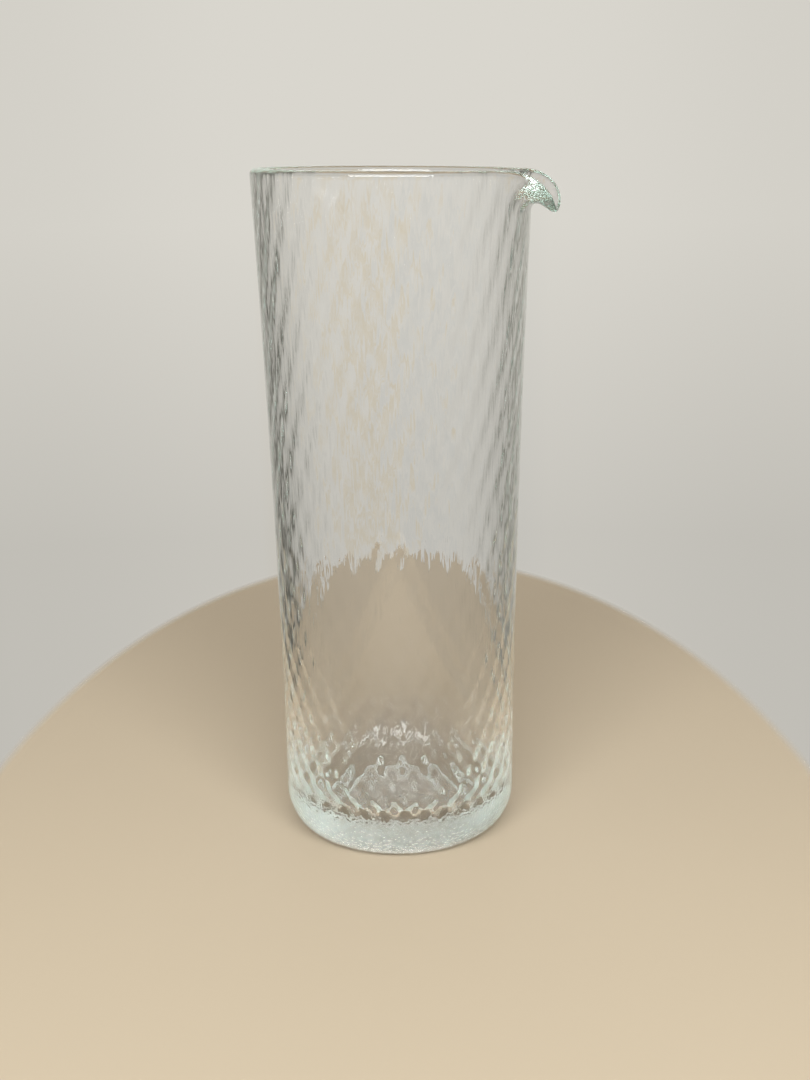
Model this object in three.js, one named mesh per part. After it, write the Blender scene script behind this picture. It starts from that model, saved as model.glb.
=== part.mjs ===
// Glass pitcher: a heavy-based, tapered pitcher of clear glass, with a diamond optic pressed into
// the inside of its wall and a pouring lip pulled from its rim.
// Millimetres, +Z up, origin at the middle of the underside, +X towards the pouring lip.
// The glass is divided on flat cuts into base, wall, rim and pour_lip, which meet face to face.

import * as THREE from 'three';
import { mergeGeometries } from 'three/addons/utils/BufferGeometryUtils.js';

// Outside of the glass
const HEIGHT = 240;
const RIM_RADIUS = 48.5;
const FOOT_RADIUS = 42.2; // the wall's outside, carried straight down to the table
const WAIST_SAG = 1.2; // how far the wall sags inside its straight taper at half height
const HEEL_RISE = 14.5; // the rounded heel, upwards and inwards
const HEEL_RUN = 10.5;
const MOUTH_DIP = 1.4; // how much lower the mouth stands at the lip than opposite it

// Inside of the glass
const WALL_AT_RIM = 4;
const WALL_AT_FOOT = 5.5;
const FLOOR_THICKNESS = 12;
const INNER_HEEL_RADIUS = 14;

// Diamond optic: staggered dimples in rows that grow taller and shallower towards the rim
const OPTIC_COLUMNS = 32;
const LOWEST_ROW = 4;
const HIGHEST_ROW = 12;
const FLOOR_ROW = 5; // rows that go on over the floor, fading towards its middle
const DIMPLE_DEPTH_LOW = 0.5; // in and out of the plain surface
const DIMPLE_DEPTH_HIGH = 0.11;
const DIMPLE_FADE = 12; // how soon the dimples grow shallow above the inner heel
const FLOOR_FADE = 4; // and towards the middle of the floor

// Pouring lip: a stretch of the rim that is bent outwards and over
const LIP_HALF_ANGLE = THREE.MathUtils.degToRad(37);
const LIP_BEND = THREE.MathUtils.degToRad(128);
const LIP_ROOT_DEPTH = 14.5; // where the bend starts, below the rim
const LIP_TIP = 4.5; // the straight end of the lip, past the bend
const LIP_GATHER = 4; // how sharply the bend gathers towards the middle of the lip
const LIP_THINNING = 0.4; // the share of the wall that is lost at the edge of the lip
const PLAIN_BAND = 10; // plain glass between the optic and the start of the bend

// Fineness of the facets
const WALL_COLUMNS = 2 * OPTIC_COLUMNS;
const RIM_COLUMNS = 40;
const LIP_COLUMNS = 24;
const HEEL_STEPS = 7;
const WALL_STEPS = 10;
const RIM_STEPS = 2;
const LIP_STEPS = 9;
const RIM_ROUND_STEPS = 6;

const FULL_TURN = 2 * Math.PI;
const QUARTER_TURN = Math.PI / 2;
const UNBENT_PULL = 1e-6; // at the ends of the lip
const lipRoot = HEIGHT - LIP_ROOT_DEPTH;
const mouthBottom = lipRoot - PLAIN_BAND;

// Section of the glass in the half plane of radius and height
function wallOutside(z) {
  const t = z / HEIGHT;
  return FOOT_RADIUS + (RIM_RADIUS - FOOT_RADIUS) * t - 4 * WAIST_SAG * t * (1 - t);
}

function outside(z) {
  const above = Math.max(1 - z / HEEL_RISE, 0);
  return wallOutside(z) - HEEL_RUN * (1 - Math.sqrt(1 - above * above));
}

function inside(z) {
  return wallOutside(z) - THREE.MathUtils.lerp(WALL_AT_FOOT, WALL_AT_RIM, z / HEIGHT);
}

function steps(from, to, count) {
  return Array.from({ length: count + 1 }, (_, i) => THREE.MathUtils.lerp(from, to, i / count));
}

// The outside from one height to another, with close steps round the heel
function outsideBetween(low, high) {
  const heel = steps(0, QUARTER_TURN, HEEL_STEPS).map((angle) => HEEL_RISE * (1 - Math.cos(angle)));
  const wall = steps(HEEL_RISE, mouthBottom, WALL_STEPS).slice(1);
  const between = [...heel, ...wall].filter((z) => z > low && z < high);
  return [low, ...between, high].map((z) => new THREE.Vector2(outside(z), z));
}

// The inside as a path, measured along the glass from the floor's edge up to the mouth band
const innerHeelTop = FLOOR_THICKNESS + INNER_HEEL_RADIUS;
const floorEdge = inside(innerHeelTop) - INNER_HEEL_RADIUS;
const innerHeelLength = INNER_HEEL_RADIUS * QUARTER_TURN;
const opticLength = innerHeelLength + mouthBottom - innerHeelTop;
const floorRings = Math.max(Math.floor(floorEdge / FLOOR_ROW) - 1, 0);

function insideAt(distance, depth) {
  if (distance > innerHeelLength) {
    const z = innerHeelTop + distance - innerHeelLength;
    return new THREE.Vector2(inside(z) + depth, z);
  }
  const angle = distance / INNER_HEEL_RADIUS;
  const reach = INNER_HEEL_RADIUS + depth;
  return new THREE.Vector2(floorEdge + reach * Math.sin(angle), innerHeelTop - reach * Math.cos(angle));
}

// Diamond optic: a row is a half wave up the glass, and a column pair is a whole wave round it
const opticRows = Math.round((2 * opticLength) / (LOWEST_ROW + HIGHEST_ROW));

function rowStart(row) {
  const t = row / opticRows;
  const growth = HIGHEST_ROW - LOWEST_ROW;
  return (opticLength * t * (2 * LOWEST_ROW + growth * t)) / (LOWEST_ROW + HIGHEST_ROW);
}

function dimpleDepth(distance) {
  const aboveHeel = Math.max(distance - innerHeelLength, 0) / opticLength;
  return THREE.MathUtils.lerp(DIMPLE_DEPTH_HIGH, DIMPLE_DEPTH_LOW, (1 - aboveHeel) ** DIMPLE_FADE);
}

const dimpleSign = (row, column) => ((row + column) % 2 === 0 ? 1 : -1);

// Turns a section into a ring or a sector, and lets place() set each of its corners anew
function turn(section, columns, start, sweep, place) {
  const ring = new THREE.LatheGeometry(section, columns, 0, sweep);
  const position = ring.getAttribute('position');
  for (let column = 0; column <= columns; column += 1) {
    const angle = start + (sweep * column) / columns;
    section.forEach((corner, index) => {
      const { radius, height } = place(corner, angle, index, column);
      const x = radius * Math.cos(angle);
      const y = radius * Math.sin(angle);
      position.setXYZ(column * section.length + index, x, y, height);
    });
  }
  return ring;
}

// A flat end of a sector, facing backwards round the axis, or forwards when turned over
function sectorEnd(section, angle, place, forwards) {
  const placed = section.map((corner) => place(corner, angle));
  const outline = placed.map(({ radius, height }) => new THREE.Vector2(radius, height));
  const end = new THREE.ShapeGeometry(new THREE.Shape(outline));
  if (forwards) end.index.array.reverse();
  const axes = new THREE.Matrix4().makeBasis(
    new THREE.Vector3(Math.cos(angle), Math.sin(angle), 0),
    new THREE.Vector3(0, 0, 1),
    new THREE.Vector3(Math.sin(angle), -Math.cos(angle), 0),
  );
  return end.applyMatrix4(axes);
}

function sector(section, columns, start, sweep, place) {
  return mergeGeometries([
    turn(section, columns, start, sweep, place),
    sectorEnd(section, start, place, false),
    sectorEnd(section, start + sweep, place, true),
  ]);
}

// Heavy base, from the flat underside to the floor, with the optic fading on the floor
function baseGeometry() {
  const heel = outsideBetween(0, FLOOR_THICKNESS);
  const ringRadii = Array.from({ length: floorRings }, (_, ring) => floorEdge - FLOOR_ROW * (ring + 0.5));
  const floor = [floorEdge, ...ringRadii, 0].map((radius) => new THREE.Vector2(radius, FLOOR_THICKNESS));
  const section = [new THREE.Vector2(0, 0), ...heel, ...floor];
  const firstRing = 1 + heel.length;
  return turn(section, WALL_COLUMNS, 0, FULL_TURN, ({ x, y }, angle, index, column) => {
    const ring = index - firstRing;
    const dimpled = ring > 0 && ring <= floorRings;
    const depth = dimpled ? DIMPLE_DEPTH_LOW * (x / floorEdge) ** FLOOR_FADE : 0;
    return { radius: x, height: y - depth * dimpleSign(ring, column) };
  });
}

// Wall, from the floor up to the plain mouth band, with the optic on its inside
function wallGeometry() {
  const outer = outsideBetween(FLOOR_THICKNESS, mouthBottom);
  const middles = steps(0.5, opticRows - 0.5, opticRows - 1).map(rowStart);
  const distances = [0, ...middles, opticLength].reverse();
  const inner = distances.map((distance) => insideAt(distance, 0));
  const section = [...outer, ...inner, outer[0]];
  return turn(section, WALL_COLUMNS, 0, FULL_TURN, (corner, angle, index, column) => {
    const row = index - outer.length;
    if (row < 0 || row >= distances.length) return { radius: corner.x, height: corner.y };
    const distance = distances[row];
    const atCut = row === 0 || row === distances.length - 1;
    const depth = atCut ? 0 : dimpleDepth(distance) * dimpleSign(row, column);
    const { x, y } = insideAt(distance, depth);
    return { radius: x, height: y };
  });
}

// Mouth band: two plain faces and a round, fire-polished edge
function mouthSection(stepsAboveRoot) {
  const edgeRadius = WALL_AT_RIM / 2;
  const edgeBottom = HEIGHT - edgeRadius;
  const heights = [mouthBottom, ...steps(lipRoot, edgeBottom, stepsAboveRoot)];
  const outer = heights.map((z) => new THREE.Vector2(wallOutside(z), z));
  const inner = heights.map((z) => new THREE.Vector2(inside(z), z)).reverse();
  const middle = (wallOutside(edgeBottom) + inside(edgeBottom)) / 2;
  const half = (wallOutside(edgeBottom) - inside(edgeBottom)) / 2;
  const edge = steps(0, Math.PI, RIM_ROUND_STEPS).slice(1, -1).map((angle) => (
    new THREE.Vector2(middle + half * Math.cos(angle), edgeBottom + edgeRadius * Math.sin(angle))));
  return [...outer, ...edge, ...inner, outer[0]];
}

// The mouth settles towards the lip, more the higher a point is on the band
function settle(y, angle) {
  const share = (y - mouthBottom) / (HEIGHT - mouthBottom);
  return (MOUTH_DIP * share * (1 + Math.cos(angle))) / 2;
}

const settled = ({ x, y }, angle) => ({ radius: x, height: y - settle(y, angle) });

// Bends a point of the mouth band outwards and over, most in the middle of the lip
function bentOver({ x, y }, angle) {
  const pull = Math.cos((QUARTER_TURN * angle) / LIP_HALF_ANGLE) ** LIP_GATHER;
  const climb = y - lipRoot;
  if (climb <= 0 || pull < UNBENT_PULL) return settled({ x, y }, angle);
  const bendLength = LIP_ROOT_DEPTH - LIP_TIP;
  const bendRadius = bendLength / (LIP_BEND * pull);
  const turned = Math.min(climb, bendLength) / bendRadius;
  const straight = Math.max(climb - bendLength, 0);
  const middle = (wallOutside(y) + inside(y)) / 2;
  const offset = (x - middle) * (1 - (LIP_THINNING * pull * climb) / LIP_ROOT_DEPTH);
  const out = bendRadius * (1 - Math.cos(turned)) + straight * Math.sin(turned);
  const up = bendRadius * Math.sin(turned) + straight * Math.cos(turned);
  return {
    radius: middle + out + offset * Math.cos(turned),
    height: lipRoot + up - offset * Math.sin(turned) - settle(y, angle),
  };
}

function rimGeometry() {
  const sweep = FULL_TURN - 2 * LIP_HALF_ANGLE;
  return sector(mouthSection(RIM_STEPS), RIM_COLUMNS, LIP_HALF_ANGLE, sweep, settled);
}

function pourLipGeometry() {
  return sector(mouthSection(LIP_STEPS), LIP_COLUMNS, -LIP_HALF_ANGLE, 2 * LIP_HALF_ANGLE, bentOver);
}

function clearGlass(colour) {
  return new THREE.MeshStandardMaterial({ color: colour, roughness: 0.05, metalness: 0 });
}

function piece(name, geometry, colour) {
  geometry.computeVertexNormals();
  const mesh = new THREE.Mesh(geometry, clearGlass(colour));
  mesh.name = name;
  return mesh;
}

const pitcher = new THREE.Group();
pitcher.add(
  piece('base', baseGeometry(), 0xc8d2cc),
  piece('wall', wallGeometry(), 0xcfd3cb),
  piece('rim', rimGeometry(), 0xd3d4cb),
  piece('pour_lip', pourLipGeometry(), 0xd6d6cd),
);

export default pitcher;
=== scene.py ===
"""Glass pitcher: one seamless body of clear glass with a diamond optic, in a plain studio."""

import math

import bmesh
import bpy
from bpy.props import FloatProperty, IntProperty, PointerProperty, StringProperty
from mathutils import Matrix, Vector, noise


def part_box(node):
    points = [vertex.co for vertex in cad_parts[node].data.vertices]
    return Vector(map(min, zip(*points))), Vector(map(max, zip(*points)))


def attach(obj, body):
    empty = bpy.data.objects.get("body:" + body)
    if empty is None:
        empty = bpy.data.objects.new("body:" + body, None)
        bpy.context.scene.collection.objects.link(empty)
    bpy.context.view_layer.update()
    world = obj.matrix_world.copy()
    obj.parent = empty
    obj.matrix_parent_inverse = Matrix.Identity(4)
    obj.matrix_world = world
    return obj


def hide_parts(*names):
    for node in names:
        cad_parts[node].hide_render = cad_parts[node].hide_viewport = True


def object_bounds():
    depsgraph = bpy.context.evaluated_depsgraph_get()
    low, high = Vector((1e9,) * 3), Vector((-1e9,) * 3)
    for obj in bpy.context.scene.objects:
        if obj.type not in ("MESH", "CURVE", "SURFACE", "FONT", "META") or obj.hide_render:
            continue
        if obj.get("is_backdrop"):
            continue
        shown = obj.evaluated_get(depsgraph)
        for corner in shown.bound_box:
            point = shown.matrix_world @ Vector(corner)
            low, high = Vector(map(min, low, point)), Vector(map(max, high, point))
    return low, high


bl_info = {
    "name": "Glass Pitcher",
    "version": (1, 0, 0),
    "blender": (4, 5, 0),
    "location": "3D View > Sidebar > Pitcher",
    "description": "Builds a clear glass pitcher with a diamond optic, and a plain studio round it",
    "category": "Mesh",
}

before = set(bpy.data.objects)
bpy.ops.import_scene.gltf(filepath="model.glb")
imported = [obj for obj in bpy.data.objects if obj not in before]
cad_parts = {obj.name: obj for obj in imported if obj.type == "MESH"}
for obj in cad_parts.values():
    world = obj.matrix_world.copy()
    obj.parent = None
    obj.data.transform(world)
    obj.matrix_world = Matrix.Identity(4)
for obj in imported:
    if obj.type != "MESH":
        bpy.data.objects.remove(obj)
CAD_LOW, CAD_HIGH = (Vector(corner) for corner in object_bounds())
FLOOR_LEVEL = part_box("wall")[0][2]
MOUTH_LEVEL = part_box("rim")[0][2]
MM = 0.001
QUARTER_TURN = math.pi / 2
FULL_TURN = 2 * math.pi
SECTORS = 12
WANDER = 0.8
WANDER_PATCH = 30 * MM
UNEVENNESS = 0.6
UNEVEN_PATCH = 12 * MM
STREAK_WIDTH = 3 * MM
STREAK_HEIGHT = 35 * MM
STIPPLE_GRAIN = 1 * MM
# Where the rising diagonals start to outdo the others, and over what share of the optic they get there
LEAN_START = 0.35
LEAN_STRETCH = 0.45
# How fast the dimples flatten up the wall, and towards the middle of the floor
WALL_FADE = 12
FLOOR_DIMPLE_FADE = 4
# Mesh steps
COLUMN_STEPS = 9
ROW_STEP = 1 / 5.5
UNDERSIDE_STEP = 0.7 * MM
HEEL_STEP = math.radians(4.5)
WALL_STEP = 14 * MM
MOUTH_STEP = 1.1 * MM
EDGE_STEP = math.radians(15)
FLOOR_STEP = 0.8 * MM
# Relief of the finish, as bump
RIPPLE_PATCH = 22 * MM
RIPPLE_DEPTH = 0.08 * MM
DRAWN_WIDTH = 1.6 * MM
DRAWN_STRETCH = 0.15
DRAWN_DEPTH = 0.1 * MM
DRAWN_FROM = 30 * MM
DRAWN_FULL = 80 * MM
STIPPLE_BUMP = 0.45 * MM
UNDERSIDE_STIPPLE = 0.5
UNDERSIDE_FULL = 6 * MM
UNDERSIDE_END = 9 * MM
HEEL_RADIUS_FROM = 38 * MM
HEEL_RADIUS_FULL = 40 * MM
HEEL_STIPPLE_FULL = 14 * MM
HEEL_STIPPLE_END = 26 * MM
GLASS_IOR = 1.52
TINT_DENSITY = 0.5


def length(name, description, default):
    """A size in metres that a user can change."""
    return FloatProperty(name=name, description=description, default=default, unit="LENGTH", precision=5)


def angle(name, description, degrees):
    """An angle that a user can change."""
    return FloatProperty(
        name=name, description=description, default=math.radians(degrees), subtype="ANGLE", unit="ROTATION")


def colour(name, description, default):
    """An sRGB colour that a user can change, as a hex value."""
    return StringProperty(name=name, description=description, default=default)


class PitcherSizes(bpy.types.PropertyGroup):
    """Sizes of the glass, of its optic and of its pouring lip"""

    height: length("Height", "From the underside to the rim opposite the lip", CAD_HIGH.z)
    rim_radius: length("Rim radius", "Outside of the wall at the rim", -CAD_LOW.x)
    foot_radius: length("Foot radius", "Outside of the wall, carried down to the underside", 42.2 * MM)
    waist_sag: length("Waist sag", "How far the wall sags inside its straight taper", 1.2 * MM)
    heel_rise: length("Heel rise", "Height of the rounded heel", 14.5 * MM)
    heel_run: length("Heel run", "How far the rounded heel reaches in under the wall", 10.5 * MM)
    mouth_dip: length("Mouth dip", "How much lower the mouth stands at the lip than opposite it", 1.4 * MM)
    wall_at_rim: length("Wall at the rim", "Thickness of the wall at the rim", 4 * MM)
    wall_at_foot: length("Wall at the foot", "Thickness of the wall, at the underside", 5.5 * MM)
    floor_thickness: length("Floor", "Thickness of the heavy base", FLOOR_LEVEL)
    inner_heel: length("Inner heel", "Radius between the floor and the inside of the wall", 14 * MM)
    mouth_bottom: length("Mouth band", "Where the plain band under the rim starts", MOUTH_LEVEL)
    optic_columns: IntProperty(name="Optic columns", description="Dimples in one row", default=32)
    lowest_row: length("Lowest row", "Height of the dimples at the floor's edge", 4 * MM)
    highest_row: length("Highest row", "Height of the dimples under the mouth band", 12 * MM)
    floor_row: length("Floor row", "Width of the rings of dimples on the floor", 5 * MM)
    depth_low: length("Depth below", "How far the dimples at the heel leave the plain surface", 0.5 * MM)
    depth_high: length("Depth above", "How far the dimples under the mouth leave the surface", 0.11 * MM)
    streak_depth: length("Streak depth", "How far the drawn streaks leave the plain surface", 0.03 * MM)
    stipple_depth: length("Stipple depth", "How deep the stipple of the underside is pressed in", 0.1 * MM)
    optic_lean: FloatProperty(
        name="Optic lean", default=0.7,
        description="How far the rising diagonals outdo the falling ones at the top")
    lip_half_angle: angle("Lip half angle", "Half of the stretch of rim that the lip takes up", 37)
    lip_bend: angle("Lip bend", "How far the middle of the lip is bent over", 128)
    lip_root_depth: length("Lip root", "Where the bend starts, below the rim", 14.5 * MM)
    lip_tip: length("Lip tip", "Straight end of the lip past its bend", 4.5 * MM)
    lip_gather: FloatProperty(
        name="Lip gather", default=4, description="How sharply the bend gathers in the middle")
    lip_thinning: FloatProperty(
        name="Lip thinning", default=0.4, description="Share of the wall that the lip's edge loses")


class PitcherLooks(bpy.types.PropertyGroup):
    """Colours of the glass and of the studio"""

    glass_tint: colour("Glass tint", "White light after a long way through the glass", "#5fe1c3")
    floor: colour("Floor", "Plain pale floor", "#cdbca4")
    ceiling: colour("Ceiling", "Above the panels", "#8a8378")


def linear(hex_value):
    """The linear colour of an sRGB hex value, with alpha."""
    shares = [int(hex_value[i:i + 2], 16) / 255 for i in (1, 3, 5)]
    return [s / 12.92 if s <= 0.04045 else ((s + 0.055) / 1.055) ** 2.4 for s in shares] + [1.0]


def add_node(tree, kind, sockets=None, **settings):
    """Adds a node with its settings, and gives its sockets a value or a link from another node's output."""
    node = tree.nodes.new(kind)
    for name, value in settings.items():
        setattr(node, name, value)
    for name, value in (sockets or {}).items():
        if isinstance(value, bpy.types.NodeSocket):
            tree.links.new(value, node.inputs[name])
        else:
            node.inputs[name].default_value = value
    return node


def spaced(start, end, step):
    """Even values from start to end, no further apart than step."""
    count = max(1, math.ceil(abs(end - start) / step - 1e-9))
    return [start + (end - start) * i / count for i in range(count + 1)]


def smooth_step(t):
    """An even start and end on the way from 0 to 1."""
    t = min(1, max(0, t))
    return t * t * (3 - 2 * t)


# Shape of the glass, in the half plane of radius and height


def wall_outside(sizes, z):
    """Radius of the tapered, slightly waisted outside."""
    t = z / sizes.height
    return sizes.foot_radius + (sizes.rim_radius - sizes.foot_radius) * t - 4 * sizes.waist_sag * t * (1 - t)


def wall_inside(sizes, z):
    """Radius of the inside before the optic is pressed into it."""
    t = z / sizes.height
    return wall_outside(sizes, z) - sizes.wall_at_foot - (sizes.wall_at_rim - sizes.wall_at_foot) * t


def inner_heel_centre(sizes):
    """Radius and height of the centre of the round between the floor and the wall."""
    top = sizes.floor_thickness + sizes.inner_heel
    return wall_inside(sizes, top) - sizes.inner_heel, top


def glass_section(sizes):
    """Corners of the section, from the middle of the underside round to the middle of the floor."""
    flat = wall_outside(sizes, 0) - sizes.heel_run
    underside = [(r, 0) for r in spaced(0, flat, UNDERSIDE_STEP)]
    heel = []
    for turn in spaced(0, QUARTER_TURN, HEEL_STEP)[1:]:
        z = sizes.heel_rise * (1 - math.cos(turn))
        heel.append((wall_outside(sizes, z) - sizes.heel_run * (1 - math.sin(turn)), z))
    edge_radius = sizes.wall_at_rim / 2
    edge_bottom = sizes.height - edge_radius
    outer_heights = spaced(sizes.heel_rise, sizes.mouth_bottom, WALL_STEP)[1:]
    outer_heights += spaced(sizes.mouth_bottom, edge_bottom, MOUTH_STEP)[1:]
    outer = [(wall_outside(sizes, z), z) for z in outer_heights]
    middle = (wall_outside(sizes, edge_bottom) + wall_inside(sizes, edge_bottom)) / 2
    half = (wall_outside(sizes, edge_bottom) - wall_inside(sizes, edge_bottom)) / 2
    edge = [
        (middle + half * math.cos(turn), edge_bottom + edge_radius * math.sin(turn))
        for turn in spaced(0, math.pi, EDGE_STEP)[1:-1]]
    centre = inner_heel_centre(sizes)[0]
    mouth = [(wall_inside(sizes, z), z) for z in spaced(edge_bottom, sizes.mouth_bottom, MOUTH_STEP)]
    rows = optic_rows(sizes)
    optic = [inside_at(sizes, row_start(sizes, row)) for row in spaced(rows, 0, ROW_STEP)[1:]]
    floor = [(r, sizes.floor_thickness) for r in spaced(centre, 0, FLOOR_STEP)[1:]]
    return underside + heel + outer + edge + mouth + optic + floor


def optic_length(sizes):
    """Distance along the inside from the floor's edge to the plain mouth band."""
    return sizes.inner_heel * QUARTER_TURN + sizes.mouth_bottom - inner_heel_centre(sizes)[1]


def optic_rows(sizes):
    """Rows of dimples between the floor's edge and the plain mouth band."""
    return round(2 * optic_length(sizes) / (sizes.lowest_row + sizes.highest_row))


def row_start(sizes, row):
    """Distance along the inside at which a row starts: each row is a little higher than the one below."""
    low, high = sizes.lowest_row, sizes.highest_row
    t = row / optic_rows(sizes)
    return optic_length(sizes) * t * (2 * low + (high - low) * t) / (low + high)


def inside_at(sizes, distance):
    """Radius and height of the plain inside at a distance from the floor's edge."""
    centre, heel_top = inner_heel_centre(sizes)
    heel_length = sizes.inner_heel * QUARTER_TURN
    if distance >= heel_length:
        z = heel_top + distance - heel_length
        return wall_inside(sizes, z), z
    turn = distance / sizes.inner_heel
    return centre + sizes.inner_heel * math.sin(turn), heel_top - sizes.inner_heel * math.cos(turn)


def spin_section(mesh, corners, columns):
    """Spins the section into a closed body round the axis: one sector first, and then its copies."""
    verts = [mesh.verts.new((r, 0, z)) for r, z in corners]
    edges = [mesh.edges.new(pair) for pair in zip(verts, verts[1:])]
    about_axis = {"cent": (0, 0, 0), "axis": (0, 0, 1), "dvec": (0, 0, 0), "use_normal_flip": False}
    sector = FULL_TURN / SECTORS
    bmesh.ops.spin(
        mesh, geom=verts + edges, angle=sector, steps=columns // SECTORS, use_merge=False,
        use_duplicate=False, **about_axis)
    first_sector = mesh.verts[:] + mesh.edges[:] + mesh.faces[:]
    bmesh.ops.spin(
        mesh, geom=first_sector, angle=FULL_TURN - sector, steps=SECTORS - 1, use_merge=False,
        use_duplicate=True, **about_axis)
    bmesh.ops.remove_doubles(mesh, verts=mesh.verts[:], dist=0.001 * MM)
    bmesh.ops.recalc_face_normals(mesh, faces=mesh.faces[:])


# Diamond optic, pressed into the inside of the wall, the inner heel and the edge of the floor


def inside_distance(sizes, r, z):
    """Distance along the inside from the floor's edge, and the way out of the hollow there."""
    centre, heel_top = inner_heel_centre(sizes)
    heel_length = sizes.inner_heel * QUARTER_TURN
    if z >= heel_top:
        return heel_length + z - heel_top, (1, 0)
    if r <= centre:
        return r - centre, (0, -1)
    turn = math.atan2(r - centre, heel_top - z)
    return sizes.inner_heel * turn, (math.sin(turn), -math.cos(turn))


def optic_wave(sizes, distance, around):
    """Depth of the optic: a row is a half wave up the glass, and a column a whole wave round it.

    Two trains of waves cross as diamonds. Towards the mouth the rising one outlasts the other,
    as drawn lines.
    """
    whole = optic_length(sizes)
    low, high = sizes.lowest_row, sizes.highest_row
    if distance < 0:
        phase = math.pi * distance / sizes.floor_row
        depth = sizes.depth_low * max(0, 1 + distance / inner_heel_centre(sizes)[0]) ** FLOOR_DIMPLE_FADE
        lean = 0
    else:
        share = (math.sqrt(low * low + (high - low) * (high + low) * distance / whole) - low) / (high - low)
        phase = math.pi * optic_rows(sizes) * share
        t = min(1, distance / whole)
        above_heel = max(0, t - sizes.inner_heel * QUARTER_TURN / whole)
        depth = sizes.depth_high + (sizes.depth_low - sizes.depth_high) * (1 - above_heel) ** WALL_FADE
        lean = sizes.optic_lean * smooth_step((t - LEAN_START) / LEAN_STRETCH)
    column = sizes.optic_columns * around
    return depth * (math.sin(phase) * math.cos(column) - lean * math.cos(phase) * math.sin(column))


def press_optic(mesh, sizes):
    """Moves the corners of the inside to the dimples of the optic and to the faint streaks between them."""
    for vert in mesh.verts:
        x, y, z = vert.co
        r = math.hypot(x, y)
        inside = z > sizes.floor_thickness / 2 and r < (wall_outside(sizes, z) + wall_inside(sizes, z)) / 2
        if not inside or r == 0:
            continue
        distance, (out, up) = inside_distance(sizes, r, z)
        wander = WANDER * noise.noise(vert.co / WANDER_PATCH)
        depth = optic_wave(sizes, distance, math.atan2(y, x) + wander / sizes.optic_columns)
        depth *= 1 + UNEVENNESS * noise.noise(vert.co / UNEVEN_PATCH)
        streak = noise.noise(Vector((x / STREAK_WIDTH, y / STREAK_WIDTH, z / STREAK_HEIGHT)))
        depth += sizes.streak_depth * streak * min(1, r / inner_heel_centre(sizes)[0])
        vert.co = ((r + depth * out) * x / r, (r + depth * out) * y / r, z + depth * up)


def stipple_underside(mesh, sizes):
    """Presses the fine stipple of the mould into the underside and the foot of the heel."""
    inside_radius = inner_heel_centre(sizes)[0] + sizes.inner_heel
    for vert in mesh.verts:
        x, y, z = vert.co
        if z >= sizes.heel_rise or math.hypot(x, y) > sizes.foot_radius:
            continue
        if z > sizes.floor_thickness / 2 and math.hypot(x, y) < inside_radius:
            continue
        fade = 1 - z / sizes.heel_rise
        pit = 0.5 + 0.5 * noise.noise(vert.co / STIPPLE_GRAIN)
        vert.co.z += sizes.stipple_depth * fade * pit


def pull_lip(mesh, sizes):
    """Lets the mouth settle towards the lip, and bends the lip outwards and over."""
    lip_root = sizes.height - sizes.lip_root_depth
    bend_length = sizes.lip_root_depth - sizes.lip_tip
    for vert in mesh.verts:
        x, y, z = vert.co
        if z <= sizes.mouth_bottom:
            continue
        r, around = math.hypot(x, y), math.atan2(y, x)
        share = (z - sizes.mouth_bottom) / (sizes.height - sizes.mouth_bottom)
        settle = sizes.mouth_dip * share * (1 + math.cos(around)) / 2
        climb = z - lip_root
        if climb > 0 and abs(around) < sizes.lip_half_angle * 0.999:
            pull = math.cos(QUARTER_TURN * around / sizes.lip_half_angle) ** sizes.lip_gather
            bend_radius = bend_length / (sizes.lip_bend * pull)
            turned = min(climb, bend_length) / bend_radius
            straight = max(climb - bend_length, 0)
            middle = (wall_outside(sizes, z) + wall_inside(sizes, z)) / 2
            offset = (r - middle) * (1 - sizes.lip_thinning * pull * climb / sizes.lip_root_depth)
            out = bend_radius * (1 - math.cos(turned)) + straight * math.sin(turned)
            up = bend_radius * math.sin(turned) + straight * math.cos(turned)
            r = middle + out + offset * math.cos(turned)
            z = lip_root + up - offset * math.sin(turned)
        vert.co = (r * math.cos(around), r * math.sin(around), z - settle)


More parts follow.
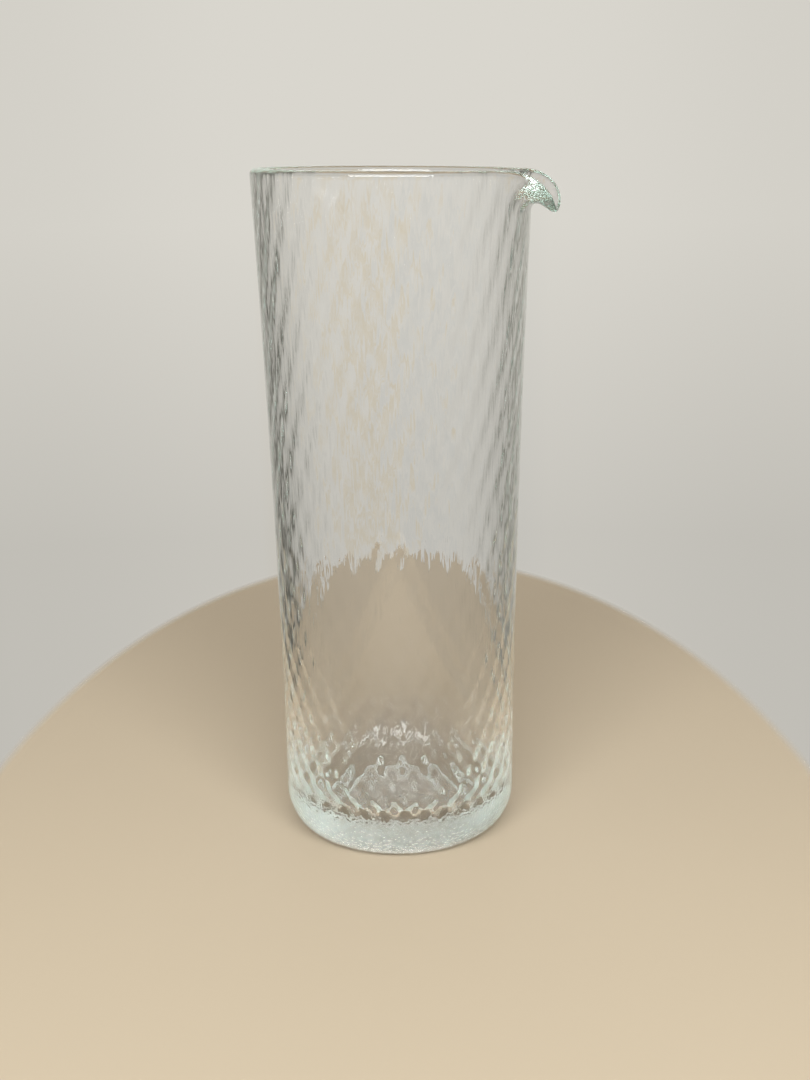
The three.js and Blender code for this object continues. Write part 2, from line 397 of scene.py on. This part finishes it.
def soda_lime_glass(looks):
    """Clear soda-lime glass, blown into an optic mould and fire-polished, so it is bright and very smooth.

    A faint green shows only where the eye looks a long way through it, as in the heavy base.
    """
    material = bpy.data.materials.new("clear_soda_lime_glass")
    material.use_nodes = True
    tree = material.node_tree
    tree.nodes.clear()
    place = add_node(tree, "ShaderNodeTexCoord").outputs["Object"]
    ripple = add_node(tree, "ShaderNodeTexNoise", {"Vector": place, "Scale": 1 / RIPPLE_PATCH, "Detail": 1})
    polish = add_node(tree, "ShaderNodeBump", {
        "Height": ripple.outputs["Fac"], "Strength": 1, "Distance": RIPPLE_DEPTH})
    drawn = add_node(tree, "ShaderNodeMapping", {"Vector": place, "Scale": (1, 1, DRAWN_STRETCH)})
    streaks = add_node(tree, "ShaderNodeTexNoise", {
        "Vector": drawn.outputs["Vector"], "Scale": 1 / DRAWN_WIDTH, "Detail": 1})
    height = add_node(tree, "ShaderNodeSeparateXYZ", {"Vector": place}).outputs["Z"]
    above = add_node(tree, "ShaderNodeMapRange", {
        "Value": height, "From Min": DRAWN_FROM, "From Max": DRAWN_FULL}, interpolation_type="SMOOTHSTEP")
    polish = add_node(tree, "ShaderNodeBump", {
        "Height": streaks.outputs["Fac"], "Strength": above.outputs["Result"], "Distance": DRAWN_DEPTH,
        "Normal": polish.outputs["Normal"]})
    grain = add_node(tree, "ShaderNodeTexNoise", {"Vector": place, "Scale": 1 / STIPPLE_GRAIN, "Detail": 0})
    flat = add_node(tree, "ShaderNodeVectorMath", {0: place, 1: (1, 1, 0)}, operation="MULTIPLY")
    radius = add_node(tree, "ShaderNodeVectorMath", {0: flat.outputs["Vector"]}, operation="LENGTH")
    below = add_node(tree, "ShaderNodeMapRange", {
        "Value": height, "From Min": UNDERSIDE_FULL, "From Max": UNDERSIDE_END,
        "To Min": UNDERSIDE_STIPPLE, "To Max": 0})
    outer = add_node(tree, "ShaderNodeMapRange", {
        "Value": radius.outputs["Value"], "From Min": HEEL_RADIUS_FROM, "From Max": HEEL_RADIUS_FULL})
    low = add_node(tree, "ShaderNodeMapRange", {
        "Value": height, "From Min": HEEL_STIPPLE_FULL, "From Max": HEEL_STIPPLE_END,
        "To Min": 1, "To Max": 0})
    heel = add_node(tree, "ShaderNodeMath", {
        0: outer.outputs["Result"], 1: low.outputs["Result"]}, operation="MULTIPLY")
    foot = add_node(tree, "ShaderNodeMath", {
        0: below.outputs["Result"], 1: heel.outputs["Value"]}, operation="MAXIMUM")
    stipple = add_node(tree, "ShaderNodeBump", {
        "Height": grain.outputs["Fac"], "Strength": foot.outputs["Value"], "Distance": STIPPLE_BUMP,
        "Normal": polish.outputs["Normal"]})
    glass = add_node(tree, "ShaderNodeBsdfPrincipled", {
        "Base Color": linear("#ffffff"), "Transmission Weight": 1, "Roughness": 0, "IOR": GLASS_IOR,
        "Normal": stipple.outputs["Normal"]})
    tint = add_node(tree, "ShaderNodeVolumeAbsorption", {
        "Color": linear(looks.glass_tint), "Density": TINT_DENSITY})
    add_node(tree, "ShaderNodeOutputMaterial", {
        "Surface": glass.outputs["BSDF"], "Volume": tint.outputs["Volume"]})
    return material


def finish_piece(mesh, name, material):
    """Turns a bmesh into a smooth object with one material."""
    for face in mesh.faces:
        face.smooth = True
    data = bpy.data.meshes.new(name)
    mesh.to_mesh(data)
    mesh.free()
    data.materials.append(material)
    piece = bpy.data.objects.new(name, data)
    bpy.context.scene.collection.objects.link(piece)
    return piece


class PITCHER_OT_glass_body(bpy.types.Operator):
    """Spin the glass, press its optic and pull its pouring lip"""

    bl_idname = "pitcher.glass_body"
    bl_label = "Glass Body"

    def execute(self, context):
        sizes = context.scene.pitcher_sizes
        mesh = bmesh.new()
        spin_section(mesh, glass_section(sizes), COLUMN_STEPS * sizes.optic_columns)
        press_optic(mesh, sizes)
        stipple_underside(mesh, sizes)
        pull_lip(mesh, sizes)
        body = finish_piece(mesh, "glass_body", soda_lime_glass(context.scene.pitcher_looks))
        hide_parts("base", "wall", "rim", "pour_lip")
        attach(body, "root")
        return {"FINISHED"}


# Studio

CAMERA_AZIMUTH = math.radians(15)
CAMERA_DISTANCE = 527 * MM
CAMERA_HEIGHT = 247.5 * MM
CAMERA_SIDE = 3.03 * MM
CAMERA_PITCH = math.radians(14.82)
CAMERA_ROLL = math.radians(0.75)
CAMERA_LENS = 50
FLOOR_REACH = 0.372
FLOOR_HALF_WIDTH = 0.17
FLOOR_EDGE = 0.96
FLOOR_GAP = 0.05 * MM
# Shades round the pitcher at degrees from straight ahead, and faint stripes right behind it
STUDIO_PANELS = (
    (-179, "#c4c1ba"), (-135, "#c0bdb6"), (-95, "#a9a79f"), (-70, "#807f77"), (-45, "#8c8b81"),
    (-28, "#b8b6ad"), (-15, "#d3d0c8"), (-5, "#d9d6ce"), (5, "#d9d6ce"), (15, "#d3d0c8"),
    (28, "#a3a198"), (45, "#5e5d55"), (70, "#66655d"), (95, "#a9a79f"), (135, "#c0bdb6"),
    (179, "#c4c1ba"))
STUDIO_STRIPES = ((-5.5, "#ffffff"), (-2.5, "#f4f6f8"), (0, "#ffffff"), (2.5, "#f8f0e0"), (5.5, "#ffffff"))
# Heights in the backdrop, as the upward share of the way there
STRIPES_TOP = -0.015
STRIPES_TOP_FULL = -0.05
STRIPES_BOTTOM_FULL = -0.3
STRIPES_BOTTOM = -0.4
CEILING_FROM = 0.3
CEILING_FULL = 0.8
SHADE_FROM = -0.05
SHADE_FULL = -0.25
LOW_STRENGTH = 0.82
WINDOW_PLACE = (0.3, -1.1, 0.92)
WINDOW_WIDTH = 1.5
WINDOW_HEIGHT = 0.7
WINDOW_WATTS = 32
WINDOW_COLOUR = "#f3f7f7"
GLASS_BOUNCES = 128


def matte_floor(shade):
    """Matte pale floor, oval, with a soft edge."""
    material = bpy.data.materials.new("pale_matte_floor")
    material.use_nodes = True
    tree = material.node_tree
    tree.nodes.clear()
    place = add_node(tree, "ShaderNodeTexCoord").outputs["Object"]
    oval = add_node(tree, "ShaderNodeMapping", {
        "Vector": place, "Rotation": (0, 0, CAMERA_AZIMUTH), "Scale": (FLOOR_HALF_WIDTH, FLOOR_REACH, 1)},
        vector_type="TEXTURE")
    share = add_node(tree, "ShaderNodeVectorMath", {0: oval.outputs["Vector"]}, operation="LENGTH")
    cover = add_node(tree, "ShaderNodeMapRange", {
        "Value": share.outputs["Value"], "From Min": FLOOR_EDGE, "To Min": 1, "To Max": 0},
        interpolation_type="SMOOTHSTEP")
    paint = add_node(tree, "ShaderNodeBsdfPrincipled", {
        "Base Color": linear(shade), "Roughness": 0.6, "Alpha": cover.outputs["Result"]})
    add_node(tree, "ShaderNodeOutputMaterial", {"Surface": paint.outputs["BSDF"]})
    return material


def add_ring(tree, around, panels):
    """A colour for each way round the pitcher, from the shades of panels at degrees from straight ahead."""
    ring = add_node(tree, "ShaderNodeValToRGB", {"Fac": around})
    ring.color_ramp.interpolation = "EASE"
    stops = ring.color_ramp.elements
    for degrees, shade in panels:
        stops.new(0.5 + degrees / 360).color = linear(shade)
    stops[0].color = linear(panels[0][1])
    stops[-1].color = linear(panels[-1][1])
    return ring.outputs["Color"]


def studio_world(looks):
    """A ring of pale panels with darker ones at the sides, and faint stripes right behind the pitcher.

    The glass bends the panels and stripes into its streaks.
    """
    world = bpy.data.worlds.new("studio")
    world.use_nodes = True
    tree = world.node_tree
    tree.nodes.clear()
    way = add_node(tree, "ShaderNodeTexCoord").outputs["Generated"]
    turned = add_node(tree, "ShaderNodeMapping", {
        "Vector": way, "Rotation": (0, 0, -CAMERA_AZIMUTH - QUARTER_TURN)})
    around = add_node(tree, "ShaderNodeTexGradient", {
        "Vector": turned.outputs["Vector"]}, gradient_type="RADIAL")
    panels = add_ring(tree, around.outputs["Fac"], STUDIO_PANELS)
    stripes = add_ring(tree, around.outputs["Fac"], STUDIO_STRIPES)
    height = add_node(tree, "ShaderNodeSeparateXYZ", {"Vector": way}).outputs["Z"]
    under_horizon = add_node(tree, "ShaderNodeMapRange", {
        "Value": height, "From Min": STRIPES_TOP_FULL, "From Max": STRIPES_TOP, "To Min": 1, "To Max": 0})
    over_floor = add_node(tree, "ShaderNodeMapRange", {
        "Value": height, "From Min": STRIPES_BOTTOM, "From Max": STRIPES_BOTTOM_FULL})
    band = add_node(tree, "ShaderNodeMath", {
        0: under_horizon.outputs["Result"], 1: over_floor.outputs["Result"]}, operation="MULTIPLY")
    ring = add_node(tree, "ShaderNodeMixRGB", {
        "Fac": band.outputs["Value"], "Color1": panels, "Color2": stripes}, blend_type="MULTIPLY")
    above = add_node(tree, "ShaderNodeMapRange", {
        "Value": height, "From Min": CEILING_FROM, "From Max": CEILING_FULL},
        interpolation_type="SMOOTHSTEP")
    whole = add_node(tree, "ShaderNodeMixRGB", {
        "Fac": above.outputs["Result"], "Color1": ring.outputs["Color"], "Color2": linear(looks.ceiling)})
    shade = add_node(tree, "ShaderNodeMapRange", {
        "Value": height, "From Min": SHADE_FULL, "From Max": SHADE_FROM,
        "To Min": LOW_STRENGTH, "To Max": 1})
    light = add_node(tree, "ShaderNodeBackground", {
        "Color": whole.outputs["Color"], "Strength": shade.outputs["Result"]})
    add_node(tree, "ShaderNodeOutputWorld", {"Surface": light.outputs["Background"]})
    return world


def window_lamp():
    """A soft lamp that faces the middle of the pitcher."""
    lamp = bpy.data.lights.new("window", "AREA")
    lamp.shape = "RECTANGLE"
    lamp.size = WINDOW_WIDTH
    lamp.size_y = WINDOW_HEIGHT
    lamp.energy = WINDOW_WATTS
    lamp.color = linear(WINDOW_COLOUR)[:3]
    place = Vector(WINDOW_PLACE)
    facing = (place - Vector((0, 0, CAD_HIGH.z / 2))).to_track_quat("Z", "Y")
    window = bpy.data.objects.new("window", lamp)
    window.matrix_world = Matrix.Translation(place) @ facing.to_matrix().to_4x4()
    return window


def photo_camera():
    """The camera at the photograph's place, level and lens."""
    ahead = Vector((-math.sin(CAMERA_AZIMUTH), math.cos(CAMERA_AZIMUTH), 0))
    right = Vector((math.cos(CAMERA_AZIMUTH), math.sin(CAMERA_AZIMUTH), 0))
    up = Vector((0, 0, 1))
    forward = ahead * math.cos(CAMERA_PITCH) - up * math.sin(CAMERA_PITCH)
    top = ahead * math.sin(CAMERA_PITCH) + up * math.cos(CAMERA_PITCH)
    rolled_right = right * math.cos(CAMERA_ROLL) - top * math.sin(CAMERA_ROLL)
    rolled_top = top * math.cos(CAMERA_ROLL) + right * math.sin(CAMERA_ROLL)
    turn = Matrix((rolled_right, rolled_top, -forward)).transposed().to_4x4()
    place = right * CAMERA_SIDE - ahead * CAMERA_DISTANCE + up * CAMERA_HEIGHT
    camera = bpy.data.objects.new("camera", bpy.data.cameras.new("camera"))
    camera.data.lens = CAMERA_LENS
    camera.data.clip_start = 0.01
    camera.matrix_world = Matrix.Translation(place) @ turn
    return camera


class PITCHER_OT_studio(bpy.types.Operator):
    """Set up the floor, the soft light and the camera"""

    bl_idname = "pitcher.studio"
    bl_label = "Studio"

    def execute(self, context):
        scene, looks = context.scene, context.scene.pitcher_looks
        mesh = bmesh.new()
        bmesh.ops.create_circle(mesh, cap_ends=True, segments=256, radius=1)
        bmesh.ops.scale(mesh, verts=mesh.verts[:], vec=(FLOOR_HALF_WIDTH, FLOOR_REACH, 1))
        turn = Matrix.Rotation(CAMERA_AZIMUTH, 3, "Z")
        bmesh.ops.rotate(mesh, verts=mesh.verts[:], cent=(0, 0, 0), matrix=turn)
        bmesh.ops.translate(mesh, verts=mesh.verts[:], vec=(0, 0, -FLOOR_GAP))
        finish_piece(mesh, "floor", matte_floor(looks.floor))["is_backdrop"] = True
        scene.collection.objects.link(window_lamp())
        scene.world = studio_world(looks)
        scene.camera = photo_camera()
        scene.collection.objects.link(scene.camera)
        scene.view_settings.view_transform = "Standard"
        scene.cycles.max_bounces = GLASS_BOUNCES
        scene.cycles.transmission_bounces = GLASS_BOUNCES
        scene.cycles.glossy_bounces = GLASS_BOUNCES
        return {"FINISHED"}


class PITCHER_PT_sidebar(bpy.types.Panel):
    """The pitcher's operators and sizes"""

    bl_label = "Glass Pitcher"
    bl_idname = "PITCHER_PT_sidebar"
    bl_space_type = "VIEW_3D"
    bl_region_type = "UI"
    bl_category = "Pitcher"

    def draw(self, context):
        for operator in OPERATORS:
            self.layout.operator(operator.bl_idname)
        for group in (context.scene.pitcher_sizes, context.scene.pitcher_looks):
            for name in group.__annotations__:
                self.layout.prop(group, name)


OPERATORS = (PITCHER_OT_glass_body, PITCHER_OT_studio)
CLASSES = (PitcherSizes, PitcherLooks) + OPERATORS + (PITCHER_PT_sidebar,)


def register():
    for cls in CLASSES:
        bpy.utils.register_class(cls)
    bpy.types.Scene.pitcher_sizes = PointerProperty(type=PitcherSizes)
    bpy.types.Scene.pitcher_looks = PointerProperty(type=PitcherLooks)


def unregister():
    del bpy.types.Scene.pitcher_looks
    del bpy.types.Scene.pitcher_sizes
    for cls in reversed(CLASSES):
        bpy.utils.unregister_class(cls)


def main():
    register()
    bpy.ops.pitcher.glass_body()
    bpy.ops.pitcher.studio()


if __name__ == "__main__":
    main()
